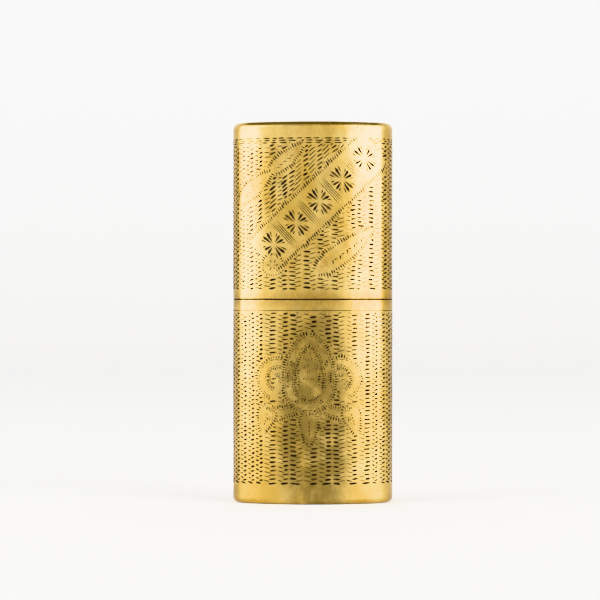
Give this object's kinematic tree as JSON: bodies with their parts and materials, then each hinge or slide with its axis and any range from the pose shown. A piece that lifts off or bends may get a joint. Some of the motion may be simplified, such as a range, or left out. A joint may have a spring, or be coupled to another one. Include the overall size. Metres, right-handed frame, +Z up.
{
  "type": "pull-apart petrol pocket lighter",
  "caption": "Flat oval brass petrol lighter with engraved sides; the cap slides off a friction neck to bare the wick, wind screen and striker wheel.",
  "frame": {"origin": "centre of the base, on the surface the lighter stands on", "axes": "+Z up along the lighter, the way the cap slides off; +X across the broad face towards the striker wheel's side; -Y out of the engraved front face"},
  "size_m": [0.025, 0.0126, 0.0591],
  "materials": {
    "brass_case": "worn polish with dark patina left in the engraving",
    "brass_neck": "satin, rubbed bright where the cap slides",
    "brass_fittings": "satin, dulled by handling",
    "steel_pin": "turned, dull",
    "spring_steel": "drawn, grey",
    "hardened_steel": "dark, file-cut teeth with bright tips",
    "flint_alloy": "dull grey",
    "cotton_wick": "braided cotton with a scorched tip",
    "cotton_wadding": "loose cotton",
    "felt": "pressed felt",
    "fibre_washer": "red vulcanised fibre"
  },
  "bodies": {
    "case": {"lower_shell": "brass_case", "base_plate": "brass_fittings", "flint_bush": "brass_fittings", "filler_bush": "brass_fittings", "neck_sleeve": "brass_neck", "burner_deck": "brass_fittings", "wick_tube": "brass_fittings", "wick": "cotton_wick", "flint_tube": "brass_fittings", "felt_pad": "felt", "wadding_lower": "cotton_wadding", "wadding_middle": "cotton_wadding", "wadding_upper": "cotton_wadding", "wheel_bracket": "brass_fittings", "bracket_rivets": "brass_fittings", "wheel_axle": "steel_pin", "wind_screen": "brass_fittings", "grip_spring_front": "spring_steel", "grip_spring_rear": "spring_steel"},
    "cap": {"cap_shell": "brass_case", "snuffer_cup": "brass_fittings"},
    "striker": {"striker_wheel": "hardened_steel"},
    "flint_feed": {"flint": "flint_alloy", "flint_plunger": "brass_fittings"},
    "flint_seal": {"flint_washer": "fibre_washer", "flint_spring": "spring_steel"},
    "flint_plug": {"flint_screw": "brass_fittings"},
    "filler_seal": {"filler_washer": "fibre_washer"},
    "filler_plug": {"filler_screw": "brass_fittings"}
  },
  "joints": [
    {"name": "cap_slide", "type": "slide", "parent": "case", "child": "cap", "axis": [0, 0, 1], "range_m": [0, 0.026]},
    {"name": "wheel_spin", "type": "hinge", "parent": "case", "child": "striker", "pos_m": [0.00421, 0, 0.0488], "axis": [0, 1, 0], "continuous": true},
    {"name": "flint_push", "type": "slide", "parent": "case", "child": "flint_feed", "axis": [0, 0, 1], "range_m": [-0.0012, 0], "stiffness_N_per_m": 100, "springref_m": 0.01, "deforming": ["flint_spring"]},
    {"name": "flint_screw_travel", "type": "slide", "parent": "case", "child": "flint_seal", "axis": [0, 0, -1], "range_m": [0, 0.0033]},
    {"name": "flint_screw_turn", "type": "hinge", "parent": "flint_seal", "child": "flint_plug", "pos_m": [0.00421, 0, 0.0001], "axis": [0, 0, -1], "range_deg": [0, 2376]},
    {"name": "filler_screw_travel", "type": "slide", "parent": "case", "child": "filler_seal", "axis": [0, 0, -1], "range_m": [0, 0.003]},
    {"name": "filler_screw_turn", "type": "hinge", "parent": "filler_seal", "child": "filler_plug", "pos_m": [-0.00468, 0, 0.0001], "axis": [0, 0, -1], "range_deg": [0, 2160]}
  ],
  "couplings": [
    {"joint": "flint_screw_travel", "follows": "flint_screw_turn", "m_per_rad": 0.000079577},
    {"joint": "filler_screw_travel", "follows": "filler_screw_turn", "m_per_rad": 0.000079577}
  ]
}
